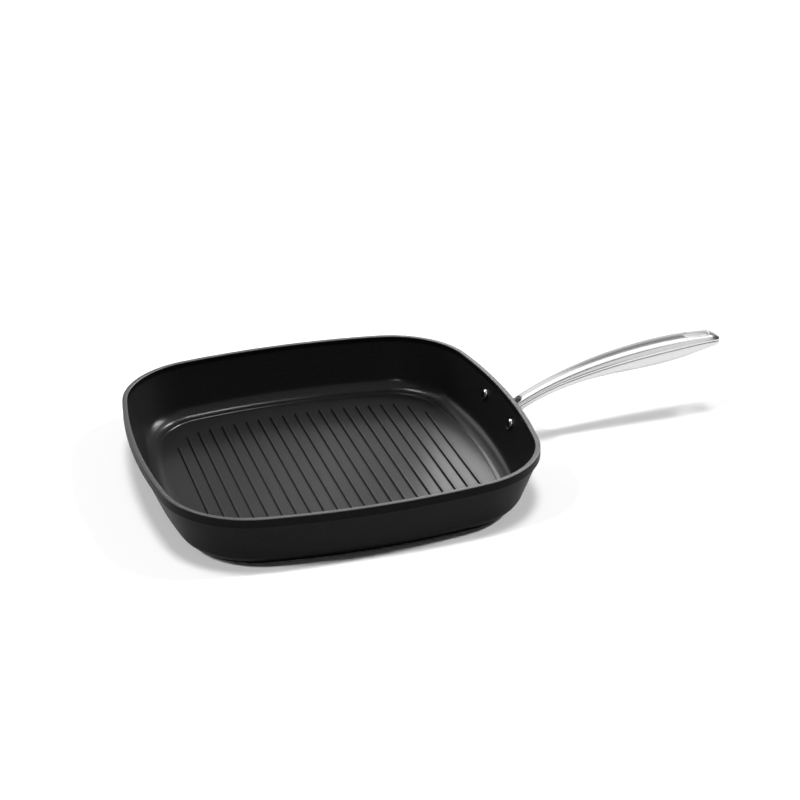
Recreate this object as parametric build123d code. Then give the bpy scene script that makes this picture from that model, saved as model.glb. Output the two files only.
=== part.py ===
from build123d import *
from math import asin, cos, degrees, radians, sin, sqrt, tan
import os

# A square stovetop grill pan with a ribbed floor and one riveted metal handle.
# Sizes are in millimetres and angles in degrees.
# The origin is the middle of the pan, on the surface that it stands on.
# +X runs out along the handle, the ribs run along Y, and +Z is up.

# Rim, seen from above: four bowed sides that run smoothly into four round corners
rim_width = 280.0
rim_height = 45.0
side_bow_radius = 489.0
corner_radius = 67.2
rim_band_height = 6.5
rim_band_overhang = 1.1
rim_top_width = 3.75
rim_edge_round = 0.8

# Wall and floor; the wall's thickness is measured level, not square to the wall
wall_lean = 21.0
wall_thickness = 3.6
outer_heel_radius = 14.0
inner_heel_radius = 11.0
floor_thickness = 5.2
foot_height = 1.5
foot_inset = 20.5

# Base plate, bonded under the foot
base_plate_thickness = 1.0
base_plate_setback = 0.4
base_plate_edge_round = 0.3

# Ribs, which stand on the flat of the floor and keep clear of its edge
rib_pitch = 9.66
rib_width = 2.4
rib_height = 1.5
rib_side_lean = 10.0
rib_edge_round = 0.35
rib_side_margin = 16.2
rib_end_margin = 22.6
rib_corner_radius = 30.0

# Rivets, one each side of the handle, square to the leaning wall
rivet_spacing = 54.4
rivet_drop = 13.5
rivet_shank_radius = 2.5
rivet_hole_clearance = 0.1
rivet_head_radius = 4.3
rivet_head_height = 2.2
rivet_tail_radius = 4.6
rivet_tail_height = 1.7
rivet_head_sink = 0.5

# Bracket: a flange on the outside of the wall and a forked tongue in the handle
flange_thickness = 2.5
flange_height = 13.0
flange_end_margin = 8.0
tongue_length = 34.0
tongue_clearance = 0.3
fork_gap_width = 6.0
fork_gap_reach = 6.5
fork_gap_back = 2.5
fork_gap_corner = 2.4
shell_gap_width = 8.8

# Handle, from its root beside the rim to its tip
handle_root_gap = 3.5
handle_length = 165.5
handle_root_drop = 12.3
handle_rise = 33.7
handle_width = 23.4
handle_crown = 5.3
handle_belly = 13.0
handle_edge = 1.0
handle_tip_radius = 9.5
handle_tip_crown = 4.4
handle_tip_belly = 7.5
handle_tip_land = 0.4
shell_thickness = 1.0
seam_gap = 0.2
seam_step = 0.4

# Hanging eye, a sleeve through both shells near the tip
eye_from_tip = 18.4
eye_length = 21.4
eye_width = 12.0
eye_wall = 1.0
eye_clearance = 0.1

# How far a cutting solid runs past what it cuts, and how far a joined one runs in
overrun = 2.0
joined_depth = 0.6

# The handle's stations: shares of its length, rise, width, crown and belly
station_shares = (-0.045, 0.0, 0.1, 0.221, 0.372, 0.553, 0.734, 0.885, 0.97, 1.03)
seam_shares = (-0.128, 0.0, 0.249, 0.469, 0.671, 0.84, 0.949, 1.0, 0.998, 0.96)
width_shares = (0.58, 0.573, 0.598, 0.692, 0.846, 0.974, 1.0, 0.88, 0.77, 0.66)
crown_shares = (0.47, 0.46, 0.47, 0.6, 0.8, 0.96, 1.0, 0.86, 0.72, 0.58)
belly_shares = (0.5, 0.49, 0.475, 0.49, 0.608, 0.9, 1.0, 0.734, 0.44, 0.25)

# What follows from the sizes above
lean_run = tan(radians(wall_lean))
side_centre = rim_width / 2 - side_bow_radius
centre_gap = side_bow_radius - corner_radius
corner_centre = (side_centre + sqrt(2 * centre_gap**2 - side_centre**2)) / 2
bow_half_angle = degrees(asin(corner_centre / centre_gap))
band_level = rim_height - rim_band_height
foot_level = base_plate_thickness
heel_level = foot_level + foot_height
floor_level = foot_level + floor_thickness
inner_heel_inset = (
    rim_band_overhang
    + wall_thickness
    + (band_level - floor_level) * lean_run
    + inner_heel_radius * tan(radians((90 - wall_lean) / 2))
)
floor_half_width = rim_width / 2 - inner_heel_inset
handle_root = rim_width / 2 + handle_root_gap
handle_tip = handle_root + handle_length
root_seam_level = rim_height - handle_root_drop
flange_level_thickness = flange_thickness / cos(radians(wall_lean))


def outline(inset, level):
    """The pan's plan outline, drawn in from the rim's by inset, as a face."""
    arcs = []
    for quarter in range(4):
        turn = Pos(0, 0, level) * Rot(0, 0, 90 * quarter)
        side = CenterArc((side_centre, 0), side_bow_radius - inset, -bow_half_angle, 2 * bow_half_angle)
        corner_place = (corner_centre, corner_centre)
        corner_turn = 90 - 2 * bow_half_angle
        corner = CenterArc(corner_place, corner_radius - inset, bow_half_angle, corner_turn)
        arcs += [turn * side, turn * corner]
    return make_face(arcs)


def leaning_block(inset, top, bottom):
    """A block under the outline at top, whose sides lean inwards down to bottom."""
    return extrude(outline(inset, top), top - bottom, dir=(0, 0, -1), taper=wall_lean)


def wall_block(grow):
    """The leaning block inside the wall's outer face, or further out by grow."""
    return leaning_block(rim_band_overhang - grow, band_level, heel_level)


def round_lowest(block, radius):
    """The block with the edges of its lowest face rounded."""
    lowest = block.faces().sort_by(Axis.Z)[0]
    return fillet(lowest.edges(), radius)


def pan_cavity():
    """The space inside the pan, which runs on past the rim."""
    top = rim_height + overrun
    inset = rim_band_overhang + wall_thickness - (top - band_level) * lean_run
    leaning = round_lowest(leaning_block(inset, top, floor_level), inner_heel_radius)
    upright = extrude(outline(rim_top_width, floor_level), top - floor_level)
    return leaning & upright


def rib_half_length(across):
    """Half of a rib's length: the ribs end on a bowed line with round corners."""
    half_depth = floor_half_width - rib_end_margin
    half_width = floor_half_width - rib_side_margin
    bow_radius = side_bow_radius - (rim_width / 2 - half_depth)
    bow_drop = bow_radius - sqrt(bow_radius**2 - across**2)
    into_corner = max(0, abs(across) - (half_width - rib_corner_radius))
    corner_drop = rib_corner_radius - sqrt(rib_corner_radius**2 - into_corner**2)
    return half_depth - bow_drop - corner_drop


def pan_ribs():
    """The ribs, each a long bar with leaning sides, round ends and soft top edges."""
    half_field = floor_half_width - rib_side_margin - rib_width / 2
    steps = int(half_field / rib_pitch)
    bars = []
    for step in range(-steps, steps + 1):
        across = step * rib_pitch
        plan = SlotOverall(2 * rib_half_length(across), rib_width, rotation=90)
        bar = extrude(plan, rib_height + joined_depth, taper=rib_side_lean)
        top_face = bar.faces().sort_by(Axis.Z)[-1]
        bar = fillet(top_face.edges(), rib_edge_round)
        bars.append(Pos(across, 0, floor_level - joined_depth) * bar)
    return bars


def wall_plane(across):
    """A plane on the inner face of the handle's wall, facing squarely out of it."""
    inset = rim_band_overhang + wall_thickness + (rivet_drop - rim_band_height) * lean_run
    reach = side_centre + sqrt((side_bow_radius - inset) ** 2 - across**2)
    origin = (reach, across, rim_height - rivet_drop)
    outwards = (cos(radians(wall_lean)), 0, -sin(radians(wall_lean)))
    return Plane(origin=origin, x_dir=(0, 1, 0), z_dir=outwards)


def rivet_holes(depth):
    """The two rivet holes, as rods that reach depth both ways from the inner face."""
    radius = rivet_shank_radius + rivet_hole_clearance
    rods = []
    for side in (-1, 1):
        rods.append(wall_plane(side * rivet_spacing / 2) * Cylinder(radius, 2 * depth))
    return rods


def pan_body():
    """The pan itself: rim band, wall, floor, foot and ribs in one piece of metal."""
    wall = round_lowest(wall_block(0), outer_heel_radius)
    band = extrude(outline(0, band_level), rim_band_height)
    foot = extrude(outline(foot_inset, foot_level), foot_height + joined_depth)
    body = wall + band + foot - pan_cavity()
    rim_face = body.faces().sort_by(Axis.Z)[-1]
    body = fillet(rim_face.edges(), rim_edge_round)
    body += pan_ribs()
    return body - rivet_holes(wall_thickness + overrun)


def base_plate():
    """The magnetic plate under the foot, slightly smaller than the foot."""
    plate = extrude(outline(foot_inset + base_plate_setback, 0), base_plate_thickness)
    return round_lowest(plate, base_plate_edge_round)


def dome_arcs(half_width, edge, rise, quarter):
    """Two quarter ellipses in a row, which start at a quarter of the turn."""
    centre = (0, edge)
    first = EllipticalCenterArc(centre, half_width, rise, 90 * quarter, arc_size=90)
    second = EllipticalCenterArc(centre, half_width, rise, 90 * (quarter + 1), arc_size=90)
    return [first, second]


def station_places():
    """Each station's place along X and the height of the seam there."""
    places = []
    for station, seam in zip(station_shares, seam_shares):
        reach = handle_root + station * handle_length
        places.append((reach, root_seam_level + seam * handle_rise))
    return places


def handle_form(side_inset, skin_inset):
    """The handle's smooth form, drawn in at its sides and again all over."""
    sections = []
    shares = zip(station_places(), width_shares, crown_shares, belly_shares)
    for place, width, crown, belly in shares:
        half_width = width * handle_width / 2 - side_inset - skin_inset
        crown_rise = crown * (handle_crown - handle_edge) - skin_inset
        belly_rise = belly * (handle_belly - handle_edge) - skin_inset
        top = dome_arcs(half_width, handle_edge, crown_rise, 0)
        left = Line((-half_width, handle_edge), (-half_width, -handle_edge))
        bottom = dome_arcs(half_width, -handle_edge, belly_rise, 2)
        right = Line((half_width, -handle_edge), (half_width, handle_edge))
        plane = Plane(origin=(place[0], 0, place[1]), x_dir=(0, 1, 0), z_dir=(1, 0, 0))
        sections.append(plane * Face(Wire(top + [left] + bottom + [right])))
    return loft(sections)


def handle_reach(skin_inset, tip_rise):
    """A tall block over the handle's plan, with a tip that is round from above and the side."""
    tip_centre = handle_tip - handle_tip_radius
    level = root_seam_level + handle_rise
    tall = 2 * (handle_rise + handle_belly + handle_width)
    width = handle_width + 2 * overrun
    box = Box(tip_centre - handle_root, width, tall, align=(Align.MIN, Align.CENTER, Align.CENTER))
    tip_radius = handle_tip_radius - skin_inset
    side_view = Plane.XZ * Ellipse(tip_radius + handle_tip_land, tip_rise - skin_inset)
    end = Cylinder(tip_radius, tall) & extrude(side_view, width, both=True)
    return Pos(handle_root, 0, level) * box + Pos(tip_centre, 0, level) * end


def seam_block(lift, way):
    """A block over or under the seam: its other side is far above or far below."""
    points = [(reach, 0, level + lift) for reach, level in station_places()]
    far = root_seam_level + handle_rise / 2 + way * (handle_rise + handle_belly + handle_crown)
    first = (points[0][0], 0, far)
    last = (points[-1][0], 0, far)
    edges = [Spline(*points), Line(points[-1], last), Line(last, first), Line(first, points[0])]
    return extrude(make_face(edges), handle_width, both=True)


def handle_hollow(tip_rise):
    """The hollow inside a shell, open at the root and closed at the tip."""
    tip_end = handle_reach(shell_thickness, tip_rise)
    root_end = Pos(-overrun, 0, 0) * tip_end
    return handle_form(seam_step, shell_thickness) & (tip_end + root_end)


def fork_gap(width):
    """The blunt gap, that wide, which splits the bracket's neck or the upper shell's root."""
    length = fork_gap_reach + fork_gap_back
    middle = handle_root + (fork_gap_reach - fork_gap_back) / 2
    gap = extrude(RectangleRounded(length, width, fork_gap_corner), handle_width, both=True)
    return Pos(middle, 0, root_seam_level) * gap


def eye_block(grow):
    """The eye's long round form as a tall block, grown or shrunk all round."""
    plan = SlotOverall(eye_length + 2 * grow, eye_width + 2 * grow)
    level = root_seam_level + handle_rise
    return Pos(handle_tip - eye_from_tip, 0, level) * extrude(plan, handle_width, both=True)


def handle_upper_shell():
    """The polished upper shell, with its domed crown."""
    shell = (handle_form(0, 0) & handle_reach(0, handle_tip_crown)) - seam_block(0, -1)
    shell = shell - handle_hollow(handle_tip_crown) - eye_block(eye_clearance)
    return shell - fork_gap(shell_gap_width)


def handle_lower_shell():
    """The satin lower shell, set in a little from the upper one's edge."""
    solid = handle_form(seam_step, 0) & handle_reach(0, handle_tip_belly)
    shell = solid - seam_block(-seam_gap, 1)
    return shell - handle_hollow(handle_tip_belly) - eye_block(eye_clearance)


def hanging_eye():
    """The sleeve that lines the hanging slot, flush with both shells."""
    return (eye_block(0) - eye_block(-eye_wall)) & handle_form(0, 0)


def handle_bracket():
    """The flange on the wall with the forked tongue that carries both shells."""
    flange_plan = SlotOverall(rivet_spacing + 2 * flange_end_margin, flange_height)
    depth = wall_thickness + flange_thickness + overrun
    flange_reach = wall_plane(0) * extrude(flange_plan, depth, both=True)
    flange = wall_block(flange_level_thickness) & flange_reach
    tongue_end = handle_root + tongue_length
    length = tongue_end - floor_half_width
    box = Box(length, handle_width, 2 * handle_rise, align=(Align.MAX, Align.CENTER, Align.CENTER))
    reach = Pos(tongue_end, 0, root_seam_level) * box
    tongue = handle_form(seam_step, shell_thickness + tongue_clearance) & reach
    bracket = flange + tongue - wall_block(0) - fork_gap(fork_gap_width)
    return bracket - rivet_holes(depth + overrun)


def rivet_cap(radius, height):
    """A domed cap on +Z with a short skirt below, which the wall trims to its own shape."""
    dome_radius = (radius**2 + height**2) / (2 * height)
    dome = Pos(0, 0, height - dome_radius) * Sphere(dome_radius)
    core = Cylinder(radius, height, align=(Align.CENTER, Align.CENTER, Align.MIN))
    skirt = Cylinder(radius, rivet_head_sink, align=(Align.CENTER, Align.CENTER, Align.MAX))
    return (dome & core) + skirt


def near_rivet():
    """The near rivet: domed head inside the pan, shank, and a flatter tail outside."""
    grip = wall_thickness * cos(radians(wall_lean)) + flange_thickness
    head = Rot(180, 0, 0) * rivet_cap(rivet_head_radius, rivet_head_height)
    tail = Pos(0, 0, grip) * rivet_cap(rivet_tail_radius, rivet_tail_height)
    shank = Cylinder(rivet_shank_radius, grip + 2 * joined_depth)
    place = wall_plane(-rivet_spacing / 2)
    clamped = wall_block(flange_level_thickness) - pan_cavity()
    caps = [place * head - clamped, place * tail - clamped]
    return place * Pos(0, 0, grip / 2) * shank + caps


def write_part(name, shape):
    """Writes one piece under its own name."""
    shape.label = name
    export_step(shape, os.path.join("parts", name + ".step"))


def main():
    """Builds every piece and writes it."""
    os.makedirs("parts", exist_ok=True)
    write_part("pan_body", pan_body())
    write_part("base_plate", base_plate())
    write_part("handle_bracket", handle_bracket())
    write_part("handle_upper_shell", handle_upper_shell())
    write_part("handle_lower_shell", handle_lower_shell())
    write_part("hanging_eye", hanging_eye())
    write_part("rivet_near", near_rivet())
    write_part("rivet_far", mirror(near_rivet(), about=Plane.XZ))


main()
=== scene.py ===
"""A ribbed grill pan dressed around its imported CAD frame.

The body, base plate, handle shells, eye, bracket and rivets are surfaces worked out with numpy.
Blender's units are metres, in the frame's own axes: +X along the handle, +Z up, origin under the
pan. The sizes below are in millimetres, as in the CAD, and become metres when a mesh is made.
"""

import math

import bmesh
import bpy
import numpy as np
from bpy.props import FloatProperty, FloatVectorProperty, PointerProperty
from mathutils import Matrix, Vector


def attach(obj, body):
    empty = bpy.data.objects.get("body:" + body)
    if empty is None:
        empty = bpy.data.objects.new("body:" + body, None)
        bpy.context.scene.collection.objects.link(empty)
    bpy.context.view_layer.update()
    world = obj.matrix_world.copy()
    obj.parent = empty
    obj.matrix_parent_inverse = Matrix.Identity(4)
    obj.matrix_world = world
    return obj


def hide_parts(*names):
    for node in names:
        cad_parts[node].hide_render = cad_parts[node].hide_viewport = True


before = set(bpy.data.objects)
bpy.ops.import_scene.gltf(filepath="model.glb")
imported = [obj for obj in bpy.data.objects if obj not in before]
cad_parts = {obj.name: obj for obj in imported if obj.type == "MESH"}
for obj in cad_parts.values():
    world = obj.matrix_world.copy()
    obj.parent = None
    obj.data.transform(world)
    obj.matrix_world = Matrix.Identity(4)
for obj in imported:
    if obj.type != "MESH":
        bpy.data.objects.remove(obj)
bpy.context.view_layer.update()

bl_info = {
    "name": "Ribbed Grill Pan",
    "version": (1, 0, 0),
    "blender": (4, 5, 0),
    "location": "View3D > Sidebar > Grill Pan",
    "description": "Builds a square ribbed grill pan with a riveted hollow handle",
    "category": "Object",
}

MM = 0.001
QUARTER = math.pi / 2

# A hair's breadth between two points of an outline that would otherwise fall together
HAIR = 0.01

# The pan's outline, seen from above: four bowed sides and four round corners
RIM_HALF = 140.0
BOW_RADIUS = 489.0
CORNER_RADIUS = 67.2
SIDE_CENTRE = RIM_HALF - BOW_RADIUS
CENTRE_GAP = BOW_RADIUS - CORNER_RADIUS
CORNER_CENTRE = (SIDE_CENTRE + math.sqrt(2 * CENTRE_GAP**2 - SIDE_CENTRE**2)) / 2
BOW_ANGLE = math.asin(CORNER_CENTRE / CENTRE_GAP)
SIDE_STEPS = 24
CORNER_STEPS = 26

# Rim band and wall
RIM_HEIGHT = 45.0
RIM_TOP = 3.75
RIM_EDGE = 0.8
BAND_LEVEL = 38.5
BAND_STEP = 1.1
BAND_EDGE = 0.5
BAND_HOLLOW = 0.25
WALL = 3.6
WALL_BEND = 4.0
LEAN = math.radians(21.0)

# Heels, floor and foot; the floor's flat ends at a low step round the foot of the inner heel
OUTER_HEEL = 14.0
HEEL_LEVEL = 2.5
FLOOR_LEVEL = 6.2
STEP_WIDTH = 0.5
STEP_MARGIN = 1.0
STEP_HOLLOW = 0.2
STEP_EDGE = 0.4
FLAT_RUN = 8.0
FLAT_INSET = 60.0
FOOT_LEVEL = 1.0
FOOT_INSET = 20.5
FOOT_EDGE = 0.3
FOOT_RUN = 6.0

# How far above or below an edge a face has to lie to get the next finish
FINISH_MARGIN = 1.0

# Base plate
PLATE_SETBACK = 0.4
PLATE_TOP_EDGE = 0.12
PLATE_LOWER_EDGE = 0.35
PLATE_RUN = 5.0

# Ribs, on each side of the middle one, in a field of that half width and half depth
RIB_PITCH = 9.66
RIB_STEPS = 10
RIB_LEAN = math.radians(10.0)
RIB_FOOT = 0.5
RIB_EDGE = 0.35
RIB_SINK = 0.6
RIB_FIELD_HALF = (99.14, 92.74)
RIB_CORNER = 30.0
RIB_END_STEPS = 13

# Rivets: places on the wall, then the shank and the flatter tail outside
RIVET_DROP = 13.5
RIVET_ACROSS = 27.2
RIVET_SHANK = 2.5
RIVET_TAIL = (4.6, 1.7)
RIVET_SIDE = 0.35
RIVET_UNDERCUT = 0.05
RIVET_SINK = 0.3
RIVET_STEPS = 40
HEAD_POWER = 0.6

# Bracket: half length, half height and thickness of its flange, and its neck
FLANGE = (35.2, 6.5, 2.5)
FLANGE_CLEARANCE = 0.02
FLANGE_INNER_EDGE = 0.1
FLANGE_OUTER_EDGE = 0.7
FLANGE_END_STEPS = 17
NECK_START = 134.6
NECK_STATIONS = (158.0, 170.0)
NECK_CLEARANCE = 0.3
NECK_STEPS = 14

# Handle, from its root beside the rim to its tip
ROOT = 143.5
TIP = 309.0
LENGTH = TIP - ROOT
ROOT_SEAM = 32.7
RISE = 33.7
WIDTH = 23.4
CROWN = 5.3
BELLY = 13.0
EDGE = 1.0
EDGE_ROUND = 0.35
SEAM_START = {1: 0.0, -1: 0.5}
SEAM_INSET = 0.4
NOSE_START = 298.75
NOSE_POWER = 4.0
NOSE_CROWN = (0.05, 2.9)
NOSE_BELLY = (1.15, 3.0)

# Hanging eye, and the gap at the handle's root in which the bracket's fork shows
EYE_CENTRE = 290.6
EYE_HALF = (10.7, 6.0)
EYE_WALL = 1.0
EYE_LIP = 0.35
EYE_LIP_SINK = 0.33
EYE_END_STEPS = 25
GAP_START = 141.0
GAP_END = 150.0
GAP_CORNER = 2.4
FORK_HALF = 3.0
SHELL_GAP_HALF = 4.4

# The handle's stations: shares of its length, rise, width, crown and belly
STATIONS = np.array((-0.045, 0.0, 0.1, 0.221, 0.372, 0.553, 0.734, 0.885, 0.97, 1.03))
SEAM_SHARES = np.array((-0.128, 0.0, 0.249, 0.469, 0.671, 0.84, 0.949, 1.0, 0.998, 0.96))
WIDTH_SHARES = np.array((0.58, 0.573, 0.598, 0.692, 0.846, 0.974, 1.0, 0.88, 0.77, 0.66))
CROWN_SHARES = np.array((0.47, 0.46, 0.47, 0.6, 0.8, 0.96, 1.0, 0.86, 0.72, 0.58))
BELLY_SHARES = np.array((0.5, 0.49, 0.475, 0.49, 0.608, 0.9, 1.0, 0.734, 0.44, 0.25))

# Half the angle at a corner, past which the corner is too straight to be rounded
STRAIGHT_HALF = 1.56

# Shares of the way to the pan's axis at which a closed shell gets a ring of points
HUB_SHARES = np.array((0.0, 0.04, 0.5))


# Shapes as arrays


def outline_angles():
    """Angles of the outline's outward normal round the pan, closer together in the corners."""
    side = np.linspace(-BOW_ANGLE, BOW_ANGLE, SIDE_STEPS, endpoint=False)
    corner = np.linspace(BOW_ANGLE, QUARTER - BOW_ANGLE, CORNER_STEPS, endpoint=False)
    quarter = np.concatenate((side, corner))
    return np.concatenate([quarter + turn * QUARTER for turn in range(4)])


def outline_points(angles, insets):
    """Points (angle, inset, 2): an arc's centre plus its radius less the inset, along the normal.

    Each angle belongs to one of eight arcs: four shallow sides and four round corners.
    """
    turn = np.round(angles / QUARTER)
    within = angles - turn * QUARTER
    on_side = np.abs(within) <= BOW_ANGLE + 1e-9
    side_centre = SIDE_CENTRE * np.stack((np.cos(turn * QUARTER), np.sin(turn * QUARTER)), -1)
    diagonal = (np.floor(angles / QUARTER) + 0.5) * QUARTER
    reach = CORNER_CENTRE * math.sqrt(2)
    corner_centre = reach * np.stack((np.cos(diagonal), np.sin(diagonal)), -1)
    centre = np.where(on_side[:, None], side_centre, corner_centre)
    radius = np.where(on_side, BOW_RADIUS, CORNER_RADIUS)
    normal = np.stack((np.cos(angles), np.sin(angles)), -1)
    return centre[:, None] + (radius[:, None] - insets[None])[..., None] * normal[:, None]


def rounded_profile(corners, steps=5):
    """A flat polyline whose corners (a, b, radius) are replaced by arcs of that radius."""
    points = np.array([c[:2] for c in corners], float)
    line = [points[0]]
    for k in range(1, len(points) - 1):
        radius = corners[k][2]
        back = points[k - 1] - points[k]
        ahead = points[k + 1] - points[k]
        back /= np.linalg.norm(back)
        ahead /= np.linalg.norm(ahead)
        half = math.acos(np.clip(back @ ahead, -1, 1)) / 2
        if radius <= 0 or half > STRAIGHT_HALF:
            line.append(points[k])
            continue
        middle = back + ahead
        centre = points[k] + middle / np.linalg.norm(middle) * radius / math.sin(half)
        first = points[k] + back * radius / math.tan(half) - centre
        last = points[k] + ahead * radius / math.tan(half) - centre
        sweep = math.pi - 2 * half
        for share in np.linspace(0, 1, steps + 1):
            arc = (math.sin((1 - share) * sweep) * first + math.sin(share * sweep) * last) / math.sin(sweep)
            line.append(centre + arc)
    line.append(points[-1])
    return np.array(line)


def round_the_pan(profile):
    """A closed shell: the profile of (inset, height) carried round the outline.

    Both ends of the profile run on to a point on the pan's axis, at their own heights.
    """
    rim = outline_points(outline_angles(), profile[:, 0])
    heights = np.broadcast_to(profile[:, 1], rim.shape[:2])
    skin = np.dstack((rim, heights))
    shares = HUB_SHARES[:, None, None]
    first = skin[:, 0] * (1, 1, 0)
    last = skin[:, -1] * (1, 1, 0)
    start = first[None] * shares + (0, 0, profile[0, 1])
    end = (last[None] * shares + (0, 0, profile[-1, 1]))[::-1]
    return np.concatenate((start.transpose(1, 0, 2), skin, end.transpose(1, 0, 2)), axis=1)


def stadium_angles(steps):
    """Normal angles round a long round form, and 1 or -1 for the end that each belongs to."""
    half = np.linspace(-QUARTER, QUARTER, steps)
    return np.concatenate((half, half + math.pi)), np.repeat((1.0, -1.0), steps)


def spline(places, values, at):
    """A smooth cubic through the values, with free ends, worked out at the given places."""
    step = np.diff(places)
    slope = np.diff(values) / step
    size = len(places)
    system = np.eye(size)
    right = np.zeros(size)
    for k in range(1, size - 1):
        system[k, k - 1 : k + 2] = step[k - 1], 2 * (step[k - 1] + step[k]), step[k]
        right[k] = 6 * (slope[k] - slope[k - 1])
    bend = np.linalg.solve(system, right)
    k = np.clip(np.searchsorted(places, at) - 1, 0, size - 2)
    ahead = places[k + 1] - at
    back = at - places[k]
    return (
        (bend[k] * ahead**3 + bend[k + 1] * back**3) / (6 * step[k])
        + (values[k] / step[k] - bend[k] * step[k] / 6) * ahead
        + (values[k + 1] / step[k] - bend[k + 1] * step[k] / 6) * back
    )


def handle_sizes(x):
    """The handle's seam height, half width, crown and belly above and below its edge, along x.

    Near the tip the width closes bluntly, the crown falls to the seam and the belly stays.
    """
    share = (x - ROOT) / LENGTH
    seam = ROOT_SEAM + RISE * spline(STATIONS, SEAM_SHARES, share)
    half = WIDTH / 2 * spline(STATIONS, WIDTH_SHARES, share)
    crown = (CROWN - EDGE) * spline(STATIONS, CROWN_SHARES, share)
    belly = (BELLY - EDGE) * spline(STATIONS, BELLY_SHARES, share)
    into = np.clip((x - NOSE_START) / (TIP - NOSE_START), 0, 1)
    nose = np.sqrt(np.clip(1 - into**NOSE_POWER, 0, 1))
    crown_end, belly_end = (1 - (1 - end) * into**blunt for end, blunt in (NOSE_CROWN, NOSE_BELLY))
    return seam, half * nose, crown * crown_end, belly * belly_end


def gap_half(x, half):
    """Half the width of the blunt gap at the root, whose corners are round."""
    into = GAP_CORNER - np.minimum(x - GAP_START, GAP_END - x)
    into = np.clip(into, 0, GAP_CORNER)
    width = half - GAP_CORNER + np.sqrt(GAP_CORNER**2 - into**2)
    return np.where((x >= GAP_START) & (x <= GAP_END), width, 0)


def hole_half(x, gap=0.0):
    """Half the width of the opening on the handle's middle line: the eye's slot or the root's gap."""
    half = EYE_HALF[1]
    straight = EYE_HALF[0] - EYE_HALF[1]
    past = np.clip(np.abs(x - EYE_CENTRE) - straight, 0, None)
    slot = np.sqrt(np.clip(half**2 - past**2, 0, None))
    return slot + gap_half(x, gap) if gap else slot


def handle_stations(root_steps=5, gap_steps=10, long_steps=64, end_steps=16, slot_steps=7, nose_steps=30):
    """Places along the handle, crowded where the gap and the slot round off and at the tip."""
    quarter = np.linspace(0, QUARTER, end_steps)
    slot_start = EYE_CENTRE - EYE_HALF[0]
    slot_end = EYE_CENTRE + EYE_HALF[0]
    root = np.linspace(ROOT, GAP_END - GAP_CORNER, root_steps)[:-1]
    round_gap = GAP_END - GAP_CORNER + GAP_CORNER * np.sin(np.linspace(0, QUARTER, gap_steps))
    long_part = np.linspace(GAP_END + HAIR, slot_start, long_steps)
    slot_in = slot_start + EYE_HALF[1] * (1 - np.cos(quarter))[1:]
    slot_middle = np.linspace(slot_start + EYE_HALF[1], slot_end - EYE_HALF[1], slot_steps)[1:]
    slot_out = slot_end - EYE_HALF[1] + EYE_HALF[1] * np.sin(quarter)[1:]
    nose = slot_end + (TIP - slot_end) * np.sin(np.linspace(0, QUARTER, nose_steps))[1:]
    return np.concatenate((root, round_gap, long_part, slot_in, slot_middle, slot_out, nose))


def shell_half(x, way, side_inset, edge_steps=5, steps=26):
    """The near half of a handle shell's skin, as points (place along x, place across, 3).

    Across, it starts at the seam with a small round edge, climbs a straight land, and then runs
    along a quarter ellipse up to the middle line, or up to the slot or gap. way is 1 for the
    upper shell and -1 for the lower one.
    """
    seam, half, crown, belly = handle_sizes(x)
    rise = crown if way > 0 else belly
    half = np.clip(half - side_inset, 0, None)
    hole = hole_half(x, SHELL_GAP_HALF if way > 0 else 0.0)
    turn = np.arccos(np.clip(hole / np.maximum(half, 1e-6), 0, 1))
    turn = np.where(half > 1e-6, turn, QUARTER)
    angle = turn[:, None] * np.linspace(0, 1, steps)[None]
    across = half[:, None] * np.cos(angle)
    up = EDGE + rise[:, None] * np.sin(angle)
    radius = np.minimum(EDGE_ROUND, half)
    bend = np.linspace(0, QUARTER, edge_steps)
    edge_across = half[:, None] - radius[:, None] * (1 - np.sin(bend))[None]
    edge_up = SEAM_START[way] + EDGE_ROUND * (1 - np.cos(bend))[None] + 0 * edge_across
    across = np.concatenate((edge_across, across), axis=1)
    up = np.concatenate((edge_up, up), axis=1)
    along = np.repeat(x[:, None], across.shape[1], axis=1)
    return np.stack((along, -across, seam[:, None] + way * up), -1)


def both_halves(half):
    """The near half and its mirror image across the handle's middle plane."""
    return [(half, False, False), (half * (1, -1, 1), False, False)]


def wall_point(across, along, out):
    """A point on the outer wall on the handle's side, from places across, up the slope and out."""
    level = RIM_HEIGHT - RIVET_DROP + along * math.cos(LEAN)
    radius = BOW_RADIUS - BAND_STEP - (BAND_LEVEL - level) * math.tan(LEAN)
    reach = SIDE_CENTRE + np.sqrt(radius**2 - across**2)
    return np.stack((reach + out * math.cos(LEAN), across, level - out * math.sin(LEAN)), -1)


# Meshes


def grid_faces(rows, columns, round_rows, round_columns, offset):
    """Four-sided faces of a grid of points, closed in either direction when asked."""
    u = np.arange(rows if round_rows else rows - 1)
    v = np.arange(columns if round_columns else columns - 1)
    u, v = np.meshgrid(u, v, indexing="ij")
    u2 = (u + 1) % rows
    v2 = (v + 1) % columns
    faces = np.stack((u * columns + v, u2 * columns + v, u2 * columns + v2, u * columns + v2), -1)
    return faces.reshape(-1, 4) + offset


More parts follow.
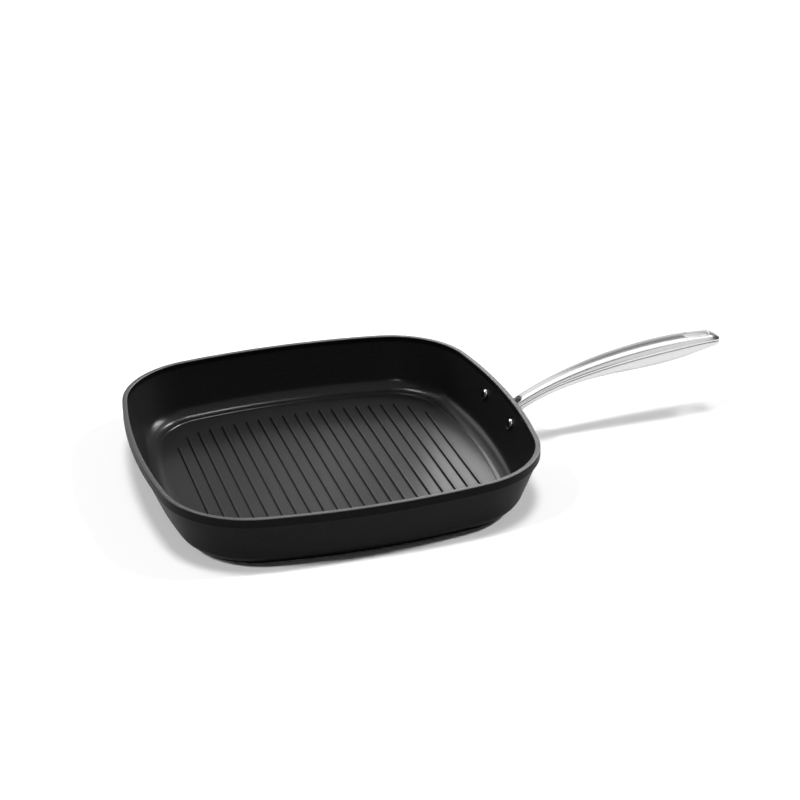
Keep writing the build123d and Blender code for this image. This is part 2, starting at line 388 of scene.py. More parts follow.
def mesh_of(name, grids, sharp=50.0, weld=1e-6, way=0):
    """One mesh from several grids (points in millimetres, round rows, round columns).

    An open skin gives its way, 1 or -1: the side of the level on which its faces look out.
    """
    points = []
    faces = []
    count = 0
    for grid, round_rows, round_columns in grids:
        rows, columns = grid.shape[:2]
        points.append(grid.reshape(-1, 3) * MM)
        faces.append(grid_faces(rows, columns, round_rows, round_columns, count))
        count += rows * columns
    mesh = bpy.data.meshes.new(name)
    mesh.from_pydata(np.concatenate(points).tolist(), [], np.concatenate(faces).tolist())
    work = bmesh.new()
    work.from_mesh(mesh)
    bmesh.ops.remove_doubles(work, verts=work.verts, dist=weld)
    bmesh.ops.dissolve_degenerate(work, edges=work.edges, dist=weld)
    bmesh.ops.recalc_face_normals(work, faces=work.faces)
    if way * sum(face.normal.z * face.calc_area() for face in work.faces) < 0:
        bmesh.ops.reverse_faces(work, faces=work.faces)
    work.to_mesh(mesh)
    work.free()
    mesh.shade_smooth()
    mesh.set_sharp_from_angle(angle=math.radians(sharp))
    mesh.update()
    return mesh


def put_piece(name, mesh, material, slot, *nodes):
    """Adds the piece to the scene, on the body, in place of its CAD nodes."""
    piece = bpy.data.objects.new(name, mesh)
    bpy.context.scene.collection.objects.link(piece)
    piece.data.materials.append(material)
    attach(piece, "root")
    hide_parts(*nodes)
    return piece


def thicken(piece, thickness):
    """Gives a skin its wall, inwards from the outer face, with an inner face painted dark as shade."""
    piece.data.materials.append(finish("painted shade inside"))
    wall = piece.modifiers.new("wall", "SOLIDIFY")
    wall.material_offset = 1
    wall.thickness = thickness
    wall.offset = -1
    wall.use_quality_normals = True


def bowl_finishes(mesh):
    """For each face: 0 inside the bowl, 1 on the rim's flat top, 2 outside and under the floor."""
    count = len(mesh.polygons)
    normals = np.empty(3 * count)
    middles = np.empty(3 * count)
    mesh.polygons.foreach_get("normal", normals)
    mesh.polygons.foreach_get("center", middles)
    normals = normals.reshape(-1, 3)
    middles = middles.reshape(-1, 3) / MM
    outwards = (normals[:, :2] * middles[:, :2]).sum(1) > 0
    below = middles[:, 2] < FLOOR_LEVEL - FINISH_MARGIN
    upwards = normals[:, 2] > 0.5
    on_rim = middles[:, 2] > RIM_HEIGHT - FINISH_MARGIN
    finishes = np.where(outwards | below, 2, 0)
    return np.where(upwards, np.where(on_rim, 1, 0), finishes).astype(np.int32)


# Materials

# Specks of the coating: grain and cloud scales, shades and places of the ramp, spread and bump
GRAIN_SCALE = 850.0
CLOUD_SCALE = 11.0
GRAIN_SHADES = (0.7, 2.2)
GRAIN_PLACES = (0.3, 0.74)
CLOUD_SPREAD = 0.03
GRAIN_BUMP = (0.2, 0.0001)
COAT_ROUGHNESS = 0.2

# Brushing lines of the steel: scales along and across, darkest shade, spread and depth
LINE_SCALES = (12.0, 1400.0)
LINE_SHADE = 0.97
LINE_SPREAD = 0.3
LINE_DEPTH = 0.00002


def ready(found, name, make):
    """The named material or node group, made once."""
    return found.get(name) or make()


def new_group(name, inputs, outputs):
    """An empty shader node group with float inputs and the named outputs."""
    group = bpy.data.node_groups.new(name, "ShaderNodeTree")
    for label, default in inputs:
        socket = group.interface.new_socket(label, in_out="INPUT", socket_type="NodeSocketFloat")
        socket.default_value = default
    for label in outputs:
        group.interface.new_socket(label, in_out="OUTPUT", socket_type="NodeSocketFloat")
    return group, group.nodes.new("NodeGroupInput"), group.nodes.new("NodeGroupOutput")


def linked(tree, kind, inputs=(), **settings):
    """A node with its settings, its linked sockets and its plain values."""
    node = tree.nodes.new(kind)
    for name, value in settings.items():
        setattr(node, name, value)
    for key, value in dict(inputs).items():
        if isinstance(value, bpy.types.NodeSocket):
            tree.links.new(value, node.inputs[key])
        else:
            node.inputs[key].default_value = value
    return node


def speckle_group():
    """Fine specks and faint cloudy patches: a noise at grain scale and one at palm scale."""
    scales = (("Grain Scale", GRAIN_SCALE), ("Cloud Scale", CLOUD_SCALE))
    group, given, made = new_group("Fine Specks", scales, ("Specks", "Clouds"))
    place = linked(group, "ShaderNodeTexCoord").outputs["Object"]
    patterns = (("Grain Scale", 2.0, 0.6, "Specks"), ("Cloud Scale", 3.0, 0.55, "Clouds"))
    for scale, detail, roughness, mask in patterns:
        inputs = {
            "Vector": place,
            "Scale": given.outputs[scale],
            "Detail": detail,
            "Roughness": roughness,
        }
        noise = linked(group, "ShaderNodeTexNoise", inputs)
        group.links.new(noise.outputs[0], made.inputs[mask])
    return group


def brush_group():
    """Brushing lines: a noise stretched along one axis, so that it reads as fine strokes."""
    along, across = LINE_SCALES
    scales = (("Along", along), ("Across", across))
    group, given, made = new_group("Brushed Lines", scales, ("Lines",))
    place = linked(group, "ShaderNodeTexCoord").outputs["Object"]
    split = linked(group, "ShaderNodeSeparateXYZ", {"Vector": place})
    stretched = {}
    for axis, scale in (("X", "Along"), ("Y", "Across"), ("Z", "Across")):
        inputs = {0: split.outputs[axis], 1: given.outputs[scale]}
        stretched[axis] = linked(group, "ShaderNodeMath", inputs, operation="MULTIPLY").outputs[0]
    joined = linked(group, "ShaderNodeCombineXYZ", stretched)
    inputs = {"Vector": joined.outputs[0], "Scale": 1.0, "Detail": 2.0}
    noise = linked(group, "ShaderNodeTexNoise", inputs)
    group.links.new(noise.outputs[0], made.inputs["Lines"])
    return group


def new_material(name):
    """A material with its shader, and the tree it lives in."""
    material = bpy.data.materials.new(name)
    material.use_nodes = True
    tree = material.node_tree
    return material, tree, tree.nodes["Principled BSDF"]


def give_pattern(tree, shader, mask, colour, shades, places, rough_mask, roughness, bump):
    """Leads a mask into colour, roughness and bump.

    The colour runs between two shades of itself, the roughness between two values, and the bump
    has a strength and a distance.
    """
    ramp = linked(tree, "ShaderNodeValToRGB", {"Fac": mask})
    for stop, shade, place in zip(ramp.color_ramp.elements, shades, places):
        stop.position = place
        stop.color = (colour[0] * shade, colour[1] * shade, colour[2] * shade, 1)
    tree.links.new(ramp.outputs["Color"], shader.inputs["Base Color"])
    low, high = roughness
    rough = linked(tree, "ShaderNodeMapRange", {"Value": rough_mask, "To Min": low, "To Max": high})
    tree.links.new(rough.outputs["Result"], shader.inputs["Roughness"])
    strength, distance = bump
    inputs = {"Height": mask, "Strength": strength, "Distance": distance}
    relief = linked(tree, "ShaderNodeBump", inputs)
    tree.links.new(relief.outputs[0], shader.inputs["Normal"])


def dark_coating(name, colour, roughness, gloss, sheen):
    """Satin black non-stick coating with fine specks that catch the light."""
    material, tree, shader = new_material(name)
    group = ready(bpy.data.node_groups, "Fine Specks", speckle_group)
    specks = linked(tree, "ShaderNodeGroup", node_tree=group)
    specks.inputs["Grain Scale"].default_value = GRAIN_SCALE
    specks.inputs["Cloud Scale"].default_value = CLOUD_SCALE
    grain, clouds = specks.outputs["Specks"], specks.outputs["Clouds"]
    rough = (roughness - CLOUD_SPREAD, roughness + CLOUD_SPREAD)
    give_pattern(tree, shader, grain, colour, GRAIN_SHADES, GRAIN_PLACES, clouds, rough, GRAIN_BUMP)
    shader.inputs["IOR"].default_value = gloss
    shader.inputs["Coat Weight"].default_value = sheen
    shader.inputs["Coat Roughness"].default_value = COAT_ROUGHNESS
    return material


def steel(name, colour, roughness, depth):
    """Steel with fine brushing lines in its roughness and its surface."""
    material, tree, shader = new_material(name)
    group = ready(bpy.data.node_groups, "Brushed Lines", brush_group)
    brush = linked(tree, "ShaderNodeGroup", node_tree=group)
    along, across = LINE_SCALES
    brush.inputs["Along"].default_value = along
    brush.inputs["Across"].default_value = across
    lines = brush.outputs["Lines"]
    shades = (LINE_SHADE, 1.0)
    rough = (roughness - depth * LINE_SPREAD, roughness + depth * LINE_SPREAD)
    give_pattern(tree, shader, lines, colour, shades, (0.0, 1.0), lines, rough, (depth, LINE_DEPTH))
    shader.inputs["Metallic"].default_value = 1.0
    return material


def finish(kind):
    """The finish that a piece asks for by its plain name."""
    looks = bpy.context.scene.grill_pan_looks
    # Colour, roughness and depth of the brushing lines
    steels = {
        "polished steel": (looks.polished_colour, looks.polished_roughness, 0.04),
        "satin steel": (looks.satin_colour, looks.satin_roughness, 0.2),
        "plate steel": (looks.plate_colour, 0.4, 0.3),
        "rivet steel": ((0.5, 0.5, 0.5), 0.08, 0.03),
        # The slot's sleeve: steel painted far lighter than the other steel, as painted light inside the slot
        "sleeve steel with painted light": ((0.92, 0.92, 0.92), 0.4, 0.05),
        # Inner faces of the shells: steel painted nearly black, as painted shade inside the hollow handle
        "painted shade inside": ((0.06, 0.06, 0.06), 0.6, 0.2),
        "ground rim": (looks.rim_colour, looks.rim_roughness, 0.1),
    }
    # Colour, roughness, refractive index and strength of the sharp highlights
    coatings = {
        "inner coating": (
            looks.coating_colour, looks.coating_roughness, looks.coating_gloss, looks.coating_sheen
        ),
        "outer coating": (looks.outer_colour, looks.outer_roughness, looks.outer_gloss, 0.0),
    }
    if kind in coatings:
        return ready(bpy.data.materials, kind, lambda: dark_coating(kind, *coatings[kind]))
    return ready(bpy.data.materials, kind, lambda: steel(kind, *steels[kind]))


# Studio, in metres

FLOOR_HALF = 8.0
FLOOR_SHADE = 0.86
FLOOR_ROUGHNESS = 0.9

# The camera that the photograph was taken with, solved from the rim's outline
CAMERA_PLACE = (-0.29494, -1.15557, 0.61512)
CAMERA_YAW = 0.295141
CAMERA_PITCH = -0.43718
CAMERA_ROLL = 0.013882
SENSOR_WIDTH = 36.0

PAN_PIECES = ("pan_bowl", "pan_ribs", "base_disc", "rivet_near_turned", "rivet_far_turned")
HANDLE_PIECES = ("handle_upper", "handle_lower", "eye_sleeve", "wall_bracket")

# Tilts to the front and the left, spread (all in degrees) and strength of the lights on the floor
KEYS = {
    "middle key": (11.3, 2, 14, 1.72),
    "left key": (11.0, 42, 8, 2.15),
}
# The same for a light whose shadow only the pan casts
PAN_KEYS = {
    "right key": (11.8, -45, 6, 2.2),
}
# Centre, aim, size and radiance of the cards that both the metal and the coating mirror
CARDS = {
    "high back strip": ((0.25, 0.62, 0.88), (0.1, 0.0, 0.03), (1.5, 0.38), 2.2),
    "overhead": ((0.2, -0.4, 1.5), (0.15, 0.0, 0.03), (2.4, 1.7), 1.0),
    "low back": ((0.3, 2.2, 0.45), (0.1, 0.0, 0.05), (4.0, 0.9), 0.55),
    "back wall": ((0.3, 3.0, 1.5), (0.1, 0.0, 0.05), (6.0, 3.0), 0.18),
}
# The same for cards that only the pan mirrors
PAN_CARDS = {
    "near back, bright": ((0.215, 0.3, 0.215), (0.084, -0.056, 0.006), (0.08, 0.08), 14.5),
    "near back, middle": ((0.15, 0.3, 0.19), (0.05, -0.03, 0.006), (0.16, 0.1), 1.2),
    "near back, soft": ((0.06, 0.3, 0.15), (0.03, -0.03, 0.006), (0.36, 0.16), 1.0),
    "corner blob": ((1.19, 1.65, 2.23), (0.0, 0.1, 0.01), (0.27, 0.27), 190.0),
    "back line": ((0.0375, 0.294, 0.411), (-0.05, 0.117, 0.007), (0.06, 0.06), 48.0),
    "right line": ((0.185, 0.884, 0.52), (0.11, 0.03, 0.01), (0.1, 0.1), 2.5),
    "front left": ((-0.42, -0.68, 0.75), (0.09, 0.11, 0.01), (0.12, 0.06), 60.0),
    "back left": ((-0.5, 0.95, 0.42), (0.05, 0.0, 0.01), (0.5, 0.3), 4.0),
    "right": ((0.95, 0.42, 0.58), (-0.1, 0.1, 0.01), (0.32, 0.42), 36.0),
}
# The same for cards that only the handle mirrors
HANDLE_CARDS = {
    "front right": ((0.68, -1.0, 0.48), (0.25, 0.0, 0.05), (0.65, 0.85), 1.1),
    "neck": ((-0.01, 0.85, 0.55), (0.17, 0.0, 0.05), (0.55, 0.4), 0.9),
}


def light_group(name, pieces):
    """The named pieces as a group that a light can be limited to."""
    group = bpy.data.collections.new(name)
    for piece in pieces:
        group.objects.link(bpy.data.objects[piece])
    return group


def reflector_card(scene, name, centre, aim, size, shine, pieces):
    """A white card of that size and radiance, seen only in glossy pieces, or in a group of them."""
    card = bpy.data.lights.new(name, "AREA")
    card.shape = "RECTANGLE"
    card.size, card.size_y = size
    card.energy = shine * math.pi * size[0] * size[1]
    holder = bpy.data.objects.new(name, card)
    holder.location = centre
    holder.rotation_euler = (Vector(aim) - Vector(centre)).to_track_quat("-Z", "Y").to_euler()
    holder.visible_camera = False
    holder.visible_diffuse = False
    if pieces:
        holder.light_linking.receiver_collection = pieces
    scene.collection.objects.link(holder)


def floor_light(scene, name, to_front, to_left, spread, strength, pieces):
    """A far light on the floor that glossy surfaces don't mirror; given pieces alone shade it."""
    light = bpy.data.lights.new(name, "SUN")
    light.energy = strength
    light.angle = math.radians(spread)
    lamp = bpy.data.objects.new(name, light)
    lamp.rotation_euler = (math.radians(to_front), math.radians(-to_left), 0)
    lamp.visible_glossy = False
    if pieces:
        lamp.light_linking.blocker_collection = pieces
    scene.collection.objects.link(lamp)


def pale_floor(scene):
    """A wide flat floor at the height that the pan stands on."""
    mesh = bpy.data.meshes.new("studio_floor")
    half = FLOOR_HALF
    corners = [(-half, -half, 0), (half, -half, 0), (half, half, 0), (-half, half, 0)]
    mesh.from_pydata(corners, [], [(0, 1, 2, 3)])
    floor = bpy.data.objects.new("studio_floor", mesh)
    scene.collection.objects.link(floor)
    material, tree, shader = new_material("pale floor")
    shader.inputs["Base Color"].default_value = (FLOOR_SHADE, FLOOR_SHADE, FLOOR_SHADE, 1)
    shader.inputs["Roughness"].default_value = FLOOR_ROUGHNESS
    shader.inputs["Specular IOR Level"].default_value = 0.0
    mesh.materials.append(material)


def even_room(scene, brightness):
    """A room of one even brightness all round."""
    world = bpy.data.worlds.new("studio room")
    world.use_nodes = True
    room = world.node_tree.nodes["Background"]
    room.inputs["Color"].default_value = (1, 1, 1, 1)
    room.inputs["Strength"].default_value = brightness
    scene.world = world


def photo_camera(scene, focal_length):
    """The camera: its axes follow from yaw, pitch and then roll about the line of sight."""
    lens = bpy.data.cameras.new("camera")
    lens.lens = focal_length
    lens.sensor_width = SENSOR_WIDTH
    camera = bpy.data.objects.new("camera", lens)
    yaw, pitch, roll = CAMERA_YAW, CAMERA_PITCH, CAMERA_ROLL
    ahead = np.array((math.sin(yaw) * math.cos(pitch), math.cos(yaw) * math.cos(pitch), math.sin(pitch)))
    level_right = np.array((math.cos(yaw), -math.sin(yaw), 0))
    level_down = np.cross(ahead, level_right)
    right = math.cos(roll) * level_right + math.sin(roll) * level_down
    down = -math.sin(roll) * level_right + math.cos(roll) * level_down
    turned = Matrix(np.stack((right, -down, -ahead), -1).tolist()).to_4x4()
    turned.translation = CAMERA_PLACE
    camera.matrix_world = turned
    scene.collection.objects.link(camera)
    scene.camera = camera


# Settings


class GrillPanSizes(bpy.types.PropertyGroup):
    """Sizes that a user may change."""

    inner_heel: FloatProperty(
        name="Inner Heel", description="Radius between the floor and the inside of the wall", unit="LENGTH",
        default=12.5 * MM, min=0,
    )
    floor_step: FloatProperty(
        name="Floor Step", description="Height of the step round the flat of the floor", unit="LENGTH",
        default=0.2 * MM, min=0,
    )
    rib_width: FloatProperty(
        name="Rib Width", description="Width of each rib at its foot", unit="LENGTH",
        default=2.19 * MM, min=0,
    )
    rib_height: FloatProperty(
        name="Rib Height", description="Height of the ribs over the floor", unit="LENGTH",
        default=1.5 * MM, min=0,
    )
    shell_wall: FloatProperty(
        name="Shell Wall", description="Thickness of the handle's two shells", unit="LENGTH",
        default=1.0 * MM, min=0,
    )
    rivet_head_radius: FloatProperty(
        name="Rivet Head Radius", description="Radius of the rivets' heads inside the pan", unit="LENGTH",
        default=4.3 * MM, min=0,
    )
    rivet_head_height: FloatProperty(
        name="Rivet Head Height", description="Height of the rivets' heads inside the pan", unit="LENGTH",
        default=2.2 * MM, min=0,
    )


class GrillPanLooks(bpy.types.PropertyGroup):
    """Colours and finishes that a user may change."""

    coating_colour: FloatVectorProperty(
        name="Coating Colour", description="Colour of the coating inside the pan", subtype="COLOR",
        default=(0.002, 0.002, 0.002), min=0, max=1,
    )
    coating_sheen: FloatProperty(
        name="Coating Sheen", description="Strength of the sharp highlights inside the pan", subtype="FACTOR",
        default=0.21, min=0, max=1,
    )
    coating_roughness: FloatProperty(
        name="Coating Roughness", description="How satin the coating inside the pan is", subtype="FACTOR",
        default=0.6, min=0, max=1,
    )
    coating_gloss: FloatProperty(
        name="Coating Gloss", description="Refractive index of the coating inside the pan",
        default=1.12, min=1, max=2,
    )
    outer_colour: FloatVectorProperty(
        name="Outer Colour", description="Colour of the coating outside the pan", subtype="COLOR",
        default=(0.0025, 0.0025, 0.0026), min=0, max=1,
    )
    outer_roughness: FloatProperty(
        name="Outer Roughness", description="How matt the outside of the pan is", subtype="FACTOR",
        default=0.42, min=0, max=1,
    )
    outer_gloss: FloatProperty(
        name="Outer Gloss", description="Refractive index of the coating outside the pan",
        default=1.12, min=1, max=2,
    )
    rim_colour: FloatVectorProperty(
        name="Rim", description="Colour of the ground top of the rim", subtype="COLOR",
        default=(0.046, 0.046, 0.046), min=0, max=1,
    )
    rim_roughness: FloatProperty(
        name="Rim Roughness", description="How finely the top of the rim is ground", subtype="FACTOR",
        default=0.5, min=0, max=1,
    )
    polished_colour: FloatVectorProperty(
        name="Polished Steel", description="Colour of the handle's upper shell", subtype="COLOR",
        default=(0.58, 0.58, 0.58), min=0, max=1,
    )
    polished_roughness: FloatProperty(
        name="Polish Roughness", description="How polished the upper shell is", subtype="FACTOR",
        default=0.2, min=0, max=1,
    )
    satin_colour: FloatVectorProperty(
        name="Satin Steel", description="Colour of the lower shell and the bracket", subtype="COLOR",
        default=(0.58, 0.58, 0.58), min=0, max=1,
    )
    satin_roughness: FloatProperty(
        name="Satin Roughness", description="How satin the lower shell is", subtype="FACTOR",
        default=0.42, min=0, max=1,
    )
    plate_colour: FloatVectorProperty(
        name="Base Plate", description="Colour of the base plate", subtype="COLOR",
        default=(0.35, 0.35, 0.36), min=0, max=1,
    )


class GrillPanStudio(bpy.types.PropertyGroup):
    """Light and view that a user may change."""

    key_strength: FloatProperty(
        name="Key Strength", description="Strength of the lights on the floor", default=1.0, min=0
    )
    room_light: FloatProperty(
        name="Room Light", description="Brightness of the room all round", default=0.12, min=0
    )
    card_light: FloatProperty(
        name="Card Light", description="Brightness of the reflector cards", default=1.0, min=0
    )
    focal_length: FloatProperty(
        name="Focal Length", description="Lens of the camera", subtype="DISTANCE_CAMERA",
        default=82.71, min=1,
    )


# Operators


class GRILLPAN_OT_bowl(bpy.types.Operator):
    """Rim band, walls, floor and foot: one profile carried round the pan's outline"""

    bl_idname = "grillpan.bowl"
    bl_label = "Pan Bowl"

    def execute(self, context):
        sizes = context.scene.grill_pan_sizes
        heel = sizes.inner_heel / MM
        step_top = FLOOR_LEVEL + sizes.floor_step / MM
        run = math.tan(LEAN)
        tangent = math.tan((QUARTER - LEAN) / 2)
        inner_foot = BAND_STEP + WALL + (BAND_LEVEL - FLOOR_LEVEL) * run
        kink = BAND_LEVEL + (BAND_STEP + WALL - RIM_TOP) / run
        outer_foot = BAND_STEP + (BAND_LEVEL - HEEL_LEVEL) * run
        step_inset = inner_foot + (heel + STEP_MARGIN) * tangent
        upper = rounded_profile(
            [
                (FLAT_INSET, FLOOR_LEVEL, 0),
                (step_inset + FLAT_RUN, FLOOR_LEVEL, 0),
                (step_inset + STEP_WIDTH, FLOOR_LEVEL, STEP_HOLLOW),
                (step_inset, step_top, STEP_EDGE),
                (inner_foot, step_top, heel),
                (RIM_TOP, kink, WALL_BEND),
                (RIM_TOP, RIM_HEIGHT, RIM_EDGE),
                (0.0, RIM_HEIGHT, RIM_EDGE),
                (0.0, BAND_LEVEL, BAND_EDGE),
                (BAND_STEP, BAND_LEVEL, BAND_HOLLOW),
                (outer_foot, HEEL_LEVEL, 0),
            ],
            steps=10,
        )[:-1]
        centre = outer_foot + OUTER_HEEL * tangent
        swing = np.linspace(QUARTER - LEAN, math.asin((centre - FOOT_INSET) / OUTER_HEEL), 14)
        outer_heel = np.stack(
            (centre - OUTER_HEEL * np.sin(swing), HEEL_LEVEL + OUTER_HEEL * (1 - np.cos(swing))), -1
        )
        wall = np.linspace(upper[-1], outer_heel[0], 8)[1:-1]
        foot = rounded_profile(
            [
                (FOOT_INSET, outer_heel[-1, 1], 0),
                (FOOT_INSET, FOOT_LEVEL, FOOT_EDGE),
                (FOOT_INSET + FOOT_RUN, FOOT_LEVEL, 0),
            ]
        )
        skin = round_the_pan(np.concatenate((upper, wall, outer_heel, foot[1:])))
        mesh = mesh_of("pan_bowl", [(skin, True, False)])
        piece = put_piece("pan_bowl", mesh, finish("inner coating"), "dark_body", "pan_body")
        piece.data.materials.append(finish("ground rim"))
        piece.data.materials.append(finish("outer coating"))
        mesh.polygons.foreach_set("material_index", bowl_finishes(mesh))
        return {"FINISHED"}


class GRILLPAN_OT_ribs(bpy.types.Operator):
    """Long ribs with round ends, leaning sides and soft edges, on the floor of the pan"""

    bl_idname = "grillpan.ribs"
    bl_label = "Ribs"

    def execute(self, context):
        sizes = context.scene.grill_pan_sizes
        half = sizes.rib_width / MM / 2
        height = sizes.rib_height / MM
        centres = np.arange(-RIB_STEPS, RIB_STEPS + 1) * RIB_PITCH
        field_half_width, field_half_depth = RIB_FIELD_HALF
        bow = BOW_RADIUS - (RIM_HALF - field_half_depth)
        into_corner = np.clip(np.abs(centres) - (field_half_width - RIB_CORNER), 0, None)
        reaches = field_half_depth - (bow - np.sqrt(bow**2 - centres**2))
        reaches = reaches - (RIB_CORNER - np.sqrt(RIB_CORNER**2 - into_corner**2))
        lean = height * math.tan(RIB_LEAN)
        profile = rounded_profile(
            [
                (half, FLOOR_LEVEL - RIB_SINK, 0),
                (-RIB_FOOT, FLOOR_LEVEL - RIB_SINK, 0),
                (-RIB_FOOT, FLOOR_LEVEL - HAIR, 0),
                (0.0, FLOOR_LEVEL, RIB_EDGE),
                (lean, FLOOR_LEVEL + height, RIB_EDGE),
                (half, FLOOR_LEVEL + height, 0),
            ]
        )
        angles, ends = stadium_angles(RIB_END_STEPS)
        radius = half - profile[:, 0]
        x = radius[None] * np.sin(angles)[:, None]
        y = radius[None] * np.cos(angles)[:, None]
        z = np.broadcast_to(profile[:, 1], x.shape)
        bars = []
        for centre, reach in zip(centres, reaches):
            straight = (reach - half) * ends[:, None]
            bars.append((np.stack((centre - x, y + straight, z), -1), True, False))
        mesh = mesh_of("pan_ribs", bars)
        put_piece("pan_ribs", mesh, finish("inner coating"), "dark_body", "pan_body")
        return {"FINISHED"}


class GRILLPAN_OT_base(bpy.types.Operator):
    """The base plate: a thin closed slab of the foot's outline with a soft lower edge"""

    bl_idname = "grillpan.base"
    bl_label = "Base Plate"

    def execute(self, context):
        inset = FOOT_INSET + PLATE_SETBACK
        profile = rounded_profile(
            [
                (inset + PLATE_RUN, FOOT_LEVEL - HAIR, 0),
                (inset, FOOT_LEVEL - HAIR, PLATE_TOP_EDGE),
                (inset, 0.0, PLATE_LOWER_EDGE),
                (inset + PLATE_RUN, 0.0, 0),
            ]
        )
        mesh = mesh_of("base_disc", [(round_the_pan(profile), True, False)])
        put_piece("base_disc", mesh, finish("plate steel"), "plate_steel", "base_plate")
        return {"FINISHED"}


class GRILLPAN_OT_upper_shell(bpy.types.Operator):
    """The polished upper shell of the handle, with its slot, its round nose and the gap at its root"""

    bl_idname = "grillpan.upper_shell"
    bl_label = "Handle Upper Shell"

    def execute(self, context):
        half = shell_half(handle_stations(), 1, 0.0)
        mesh = mesh_of("handle_upper", both_halves(half), sharp=60, way=1)
        polished = finish("polished steel")
        piece = put_piece("handle_upper", mesh, polished, "polished_steel", "handle_upper_shell")
        thicken(piece, context.scene.grill_pan_sizes.shell_wall)
        return {"FINISHED"}


class GRILLPAN_OT_lower_shell(bpy.types.Operator):
    """The satin lower shell of the handle, set in a little from the upper one"""

    bl_idname = "grillpan.lower_shell"
    bl_label = "Handle Lower Shell"

    def execute(self, context):
        half = shell_half(handle_stations(), -1, SEAM_INSET)
        mesh = mesh_of("handle_lower", both_halves(half), sharp=60, way=-1)
        satin = finish("satin steel")
        piece = put_piece("handle_lower", mesh, satin, "satin_steel", "handle_lower_shell")
        thicken(piece, context.scene.grill_pan_sizes.shell_wall)
        return {"FINISHED"}


class GRILLPAN_OT_eye(bpy.types.Operator):
    """The sleeve of the hanging slot: a thin wall between both shells with a soft lip at each end"""

    bl_idname = "grillpan.eye"
    bl_label = "Hanging Eye"

    def execute(self, context):
        angles, ends = stadium_angles(EYE_END_STEPS)
        straight = (EYE_HALF[0] - EYE_HALF[1]) * ends

        def ring(inset):
            radius = EYE_HALF[1] - inset
            return EYE_CENTRE + straight + radius * np.cos(angles), radius * np.sin(angles)

        x, y = ring(EYE_WALL / 2)
        seam, half, crown, belly = handle_sizes(x)
        dome = np.sqrt(np.clip(1 - (y / half) ** 2, 0, 1))
        top = seam + EDGE + crown * dome - EYE_LIP_SINK
        bottom = seam - EDGE - belly * dome + EYE_LIP_SINK
        swing = np.linspace(0, math.pi, 9)
        lifts = EYE_LIP * np.sin(swing)
        insets = np.concatenate((EYE_WALL / 2 * (1 - np.cos(swing)), EYE_WALL / 2 * (1 + np.cos(swing))))
        heights = [top + lift for lift in lifts] + [bottom - lift for lift in lifts]
        rings = [np.stack((*ring(inset), height), -1) for inset, height in zip(insets, heights)]
        skin = np.array(rings).transpose(1, 0, 2)
        mesh = mesh_of("eye_sleeve", [(skin, True, True)], sharp=60)
        # The sleeve's steel is painted lighter, as painted light inside the slot
        put_piece("eye_sleeve", mesh, finish("sleeve steel with painted light"), "polished_steel", "hanging_eye")
        return {"FINISHED"}


class GRILLPAN_OT_bracket(bpy.types.Operator):
    """The bracket: a flange wrapped on the wall and a forked neck that runs into the handle"""

    bl_idname = "grillpan.bracket"
    bl_label = "Handle Bracket"

    def flange(self):
        """A long round plate on the outer wall, with a soft outer edge."""
        half_long, half_tall, thick = FLANGE
        profile = rounded_profile(
            [
                (half_tall, FLANGE_CLEARANCE, 0),
                (0.0, FLANGE_CLEARANCE, FLANGE_INNER_EDGE),
                (0.0, thick, FLANGE_OUTER_EDGE),
                (half_tall, thick, 0),
            ]
        )
        angles, ends = stadium_angles(FLANGE_END_STEPS)
        radius = half_tall - profile[:, 0]
        across = radius[None] * np.cos(angles)[:, None] + (half_long - half_tall) * ends[:, None]
        along = radius[None] * np.sin(angles)[:, None]
        return wall_point(across, along, np.broadcast_to(profile[:, 1], across.shape))

    def neck_half(self, wall):
        """The near prong: a closed ring at each station, inside the shells by a clearance."""
        bend = GAP_CORNER * (1 - np.cos(np.linspace(0, QUARTER, 9)))
        back = np.linspace(NECK_START, GAP_START - HAIR, 5)
        beyond = (GAP_END + HAIR,) + NECK_STATIONS
        x = np.concatenate((back, GAP_START + bend, (GAP_END - bend)[::-1], beyond))
        seam, half, crown, belly = handle_sizes(x)
        inset = wall + NECK_CLEARANCE
        half = half - SEAM_INSET - inset
        turn = np.arccos(np.clip(hole_half(x, FORK_HALF) / half, 0, 1))
        angle = turn[:, None] * np.linspace(0, 1, NECK_STEPS)[None]
        outer = half[:, None] * np.cos(angle)
        up = EDGE + (crown - inset)[:, None] * np.sin(angle)
        down = EDGE + (belly - inset)[:, None] * np.sin(angle)
        y = -np.concatenate((outer, outer[:, ::-1]), axis=1)
        z = seam[:, None] + np.concatenate((up, -down[:, ::-1]), axis=1)
        return np.stack((np.repeat(x[:, None], 2 * NECK_STEPS, axis=1), y, z), -1)

    def execute(self, context):
        neck = self.neck_half(context.scene.grill_pan_sizes.shell_wall / MM)
        grids = [(self.flange(), True, False), (neck, False, True), (neck * (1, -1, 1), False, True)]
        mesh = mesh_of("wall_bracket", grids, sharp=45)
        put_piece("wall_bracket", mesh, finish("satin steel"), "satin_steel", "handle_bracket")
        return {"FINISHED"}


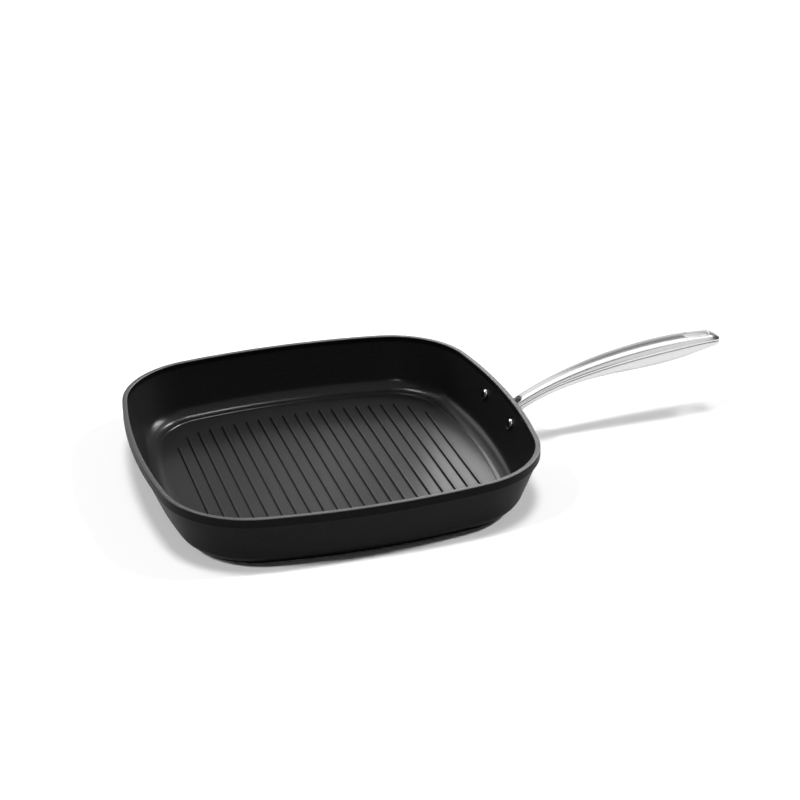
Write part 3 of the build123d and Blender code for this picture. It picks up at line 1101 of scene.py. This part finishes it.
class GRILLPAN_OT_rivets(bpy.types.Operator):
    """Both rivets: a domed head inside the wall, a shank through it and a flatter tail outside"""

    bl_idname = "grillpan.rivets"
    bl_label = "Rivets"

    def cap(self, radius, height, base, way):
        """From the top outwards: a low dome, its short straight side and its sunk lower edge."""
        swing = np.linspace(0, QUARTER, 12)
        rise = RIVET_SIDE + (height - RIVET_SIDE) * np.cos(swing) ** HEAD_POWER
        dome = np.stack((radius * np.sin(swing) ** HEAD_POWER, base + way * rise), -1)
        return np.concatenate((dome, [(radius - RIVET_UNDERCUT, base - way * RIVET_SINK)]))

    def execute(self, context):
        sizes = context.scene.grill_pan_sizes
        grip = WALL * math.cos(LEAN) + FLANGE[2]
        head = self.cap(sizes.rivet_head_radius / MM, sizes.rivet_head_height / MM, 0.0, -1)
        shank = [(RIVET_SHANK, RIVET_SINK), (RIVET_SHANK, grip - RIVET_SINK)]
        tail = self.cap(*RIVET_TAIL, grip, 1)[::-1]
        profile = np.concatenate((head, shank, tail))
        turn = np.linspace(0, 2 * math.pi, RIVET_STEPS, endpoint=False)
        level = RIM_HEIGHT - RIVET_DROP
        radius = BOW_RADIUS - BAND_STEP - WALL - (BAND_LEVEL - level) * math.tan(LEAN)
        reach = SIDE_CENTRE + math.sqrt(radius**2 - RIVET_ACROSS**2)
        out = np.array((math.cos(LEAN), 0, -math.sin(LEAN)))
        up = np.array((math.sin(LEAN), 0, math.cos(LEAN)))
        for name, side in (("rivet_near", -1), ("rivet_far", 1)):
            place = np.array((reach, side * RIVET_ACROSS, level))
            flat = np.cos(turn)[:, None, None] * (0, side, 0) + np.sin(turn)[:, None, None] * up
            skin = place + profile[None, :, :1] * flat + profile[None, :, 1:] * out
            mesh = mesh_of(name + "_turned", [(skin, True, False)])
            put_piece(name + "_turned", mesh, finish("rivet steel"), "rivet_metal", name)
        return {"FINISHED"}


class GRILLPAN_OT_stage(bpy.types.Operator):
    """A plain pale floor, soft studio light and the camera"""

    bl_idname = "grillpan.stage"
    bl_label = "Stage"

    def execute(self, context):
        scene = context.scene
        studio = scene.grill_pan_studio
        pale_floor(scene)
        even_room(scene, studio.room_light)
        pan = light_group("pan pieces", PAN_PIECES)
        handle = light_group("handle pieces", HANDLE_PIECES)
        for keys, pieces in ((KEYS, None), (PAN_KEYS, pan)):
            for name, (to_front, to_left, spread, strength) in keys.items():
                floor_light(scene, name, to_front, to_left, spread, strength * studio.key_strength, pieces)
        for cards, pieces in ((CARDS, None), (PAN_CARDS, pan), (HANDLE_CARDS, handle)):
            for name, (centre, aim, size, shine) in cards.items():
                reflector_card(scene, name, centre, aim, size, shine * studio.card_light, pieces)
        photo_camera(scene, studio.focal_length)
        scene.view_settings.view_transform = "Standard"
        return {"FINISHED"}


class GRILLPAN_PT_panel(bpy.types.Panel):
    """Lists the grill pan's settings and steps in the sidebar"""

    bl_label = "Grill Pan"
    bl_idname = "GRILLPAN_PT_panel"
    bl_space_type = "VIEW_3D"
    bl_region_type = "UI"
    bl_category = "Grill Pan"

    def draw(self, context):
        layout = self.layout
        scene = context.scene
        for group in (scene.grill_pan_sizes, scene.grill_pan_looks, scene.grill_pan_studio):
            for name in group.__annotations__:
                layout.prop(group, name)
        for step in STEPS:
            layout.operator(step.bl_idname)


STEPS = (
    GRILLPAN_OT_bowl,
    GRILLPAN_OT_ribs,
    GRILLPAN_OT_base,
    GRILLPAN_OT_upper_shell,
    GRILLPAN_OT_lower_shell,
    GRILLPAN_OT_eye,
    GRILLPAN_OT_bracket,
    GRILLPAN_OT_rivets,
    GRILLPAN_OT_stage,
)
SETTINGS = {
    "grill_pan_sizes": GrillPanSizes,
    "grill_pan_looks": GrillPanLooks,
    "grill_pan_studio": GrillPanStudio,
}
CLASSES = (*SETTINGS.values(), *STEPS, GRILLPAN_PT_panel)


def register():
    for kind in CLASSES:
        bpy.utils.register_class(kind)
    for name, group in SETTINGS.items():
        setattr(bpy.types.Scene, name, PointerProperty(type=group))


def unregister():
    for name in SETTINGS:
        delattr(bpy.types.Scene, name)
    for kind in reversed(CLASSES):
        bpy.utils.unregister_class(kind)


def main():
    """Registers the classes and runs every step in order."""
    register()
    for step in STEPS:
        family, name = step.bl_idname.split(".")
        getattr(getattr(bpy.ops, family), name)()


if __name__ == "__main__":
    main()
